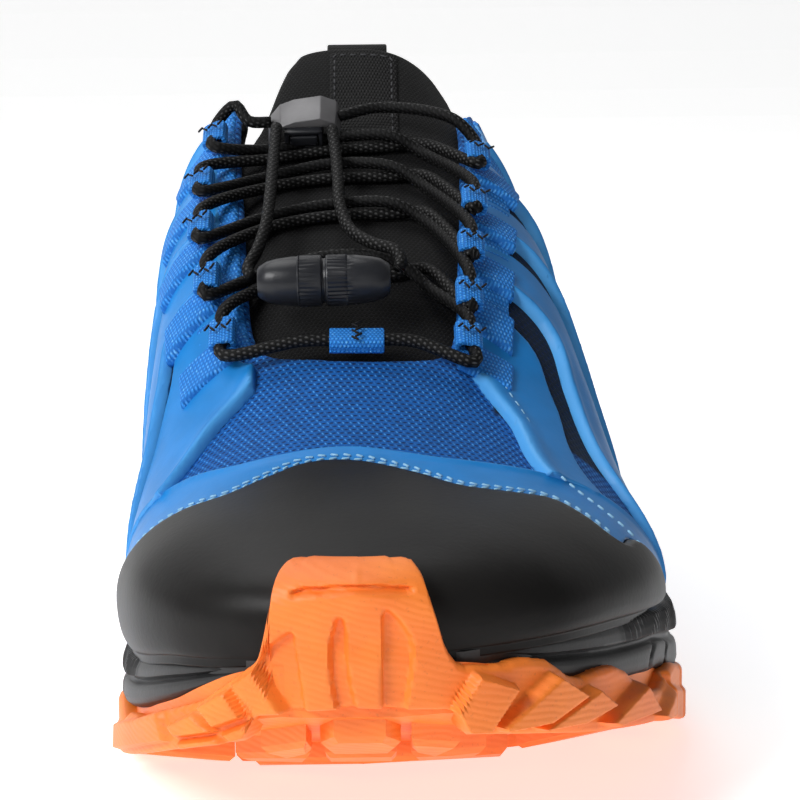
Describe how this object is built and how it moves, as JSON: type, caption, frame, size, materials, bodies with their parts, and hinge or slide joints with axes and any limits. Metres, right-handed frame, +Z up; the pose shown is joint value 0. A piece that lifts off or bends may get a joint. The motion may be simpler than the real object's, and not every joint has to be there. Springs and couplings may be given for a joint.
{
  "type": "hiking shoe",
  "caption": "Low hiking shoe with lugged sole, toe bumper, knit upper, webbing loops and an elastic lace held by a cord lock.",
  "frame": {"origin": "on the ground under the middle of the shoe's box", "axes": "+Y runs from the toe to the heel, +X to the outer side of the left foot, +Z up"},
  "size_m": [0.1118, 0.3012, 0.1326],
  "materials": {
    "outsole_rubber": "matte",
    "midsole_foam": "satin",
    "insole_foam": "matte",
    "knit_blue": "matte",
    "cap_rubber": "matte",
    "film_blue": "satin",
    "knit_black": "matte",
    "woven_black": "satin",
    "webbing_blue": "matte",
    "lace_black": "matte",
    "lock_grey": "satin",
    "lock_black": "satin"
  },
  "bodies": {
    "root": {"outsole": "outsole_rubber", "midsole": "midsole_foam", "insole": "insole_foam", "upper": "knit_blue", "toe_cap": "cap_rubber", "toe_trim": "film_blue", "cage_medial": "film_blue", "cage_lateral": "film_blue", "heel_counter": "film_blue", "tongue": "knit_black", "tongue_label": "woven_black", "collar_lining": "knit_black", "heel_pull": "woven_black", "lace_loop_centre": "webbing_blue", "lace_loop_medial_1": "webbing_blue", "lace_loop_medial_2": "webbing_blue", "lace_loop_medial_3": "webbing_blue", "lace_loop_medial_4": "webbing_blue", "lace_loop_medial_5": "webbing_blue", "lace_loop_lateral_1": "webbing_blue", "lace_loop_lateral_2": "webbing_blue", "lace_loop_lateral_3": "webbing_blue", "lace_loop_lateral_4": "webbing_blue", "lace_loop_lateral_5": "webbing_blue", "lace_crossings": "lace_black", "lace_end_medial": "lace_black", "lace_end_lateral": "lace_black", "lace_toggle": "lock_black", "cord_lock_hood": "lock_grey", "cord_lock_body": "lock_black", "cord_lock_button": "lock_black"}
  },
  "joints": []
}
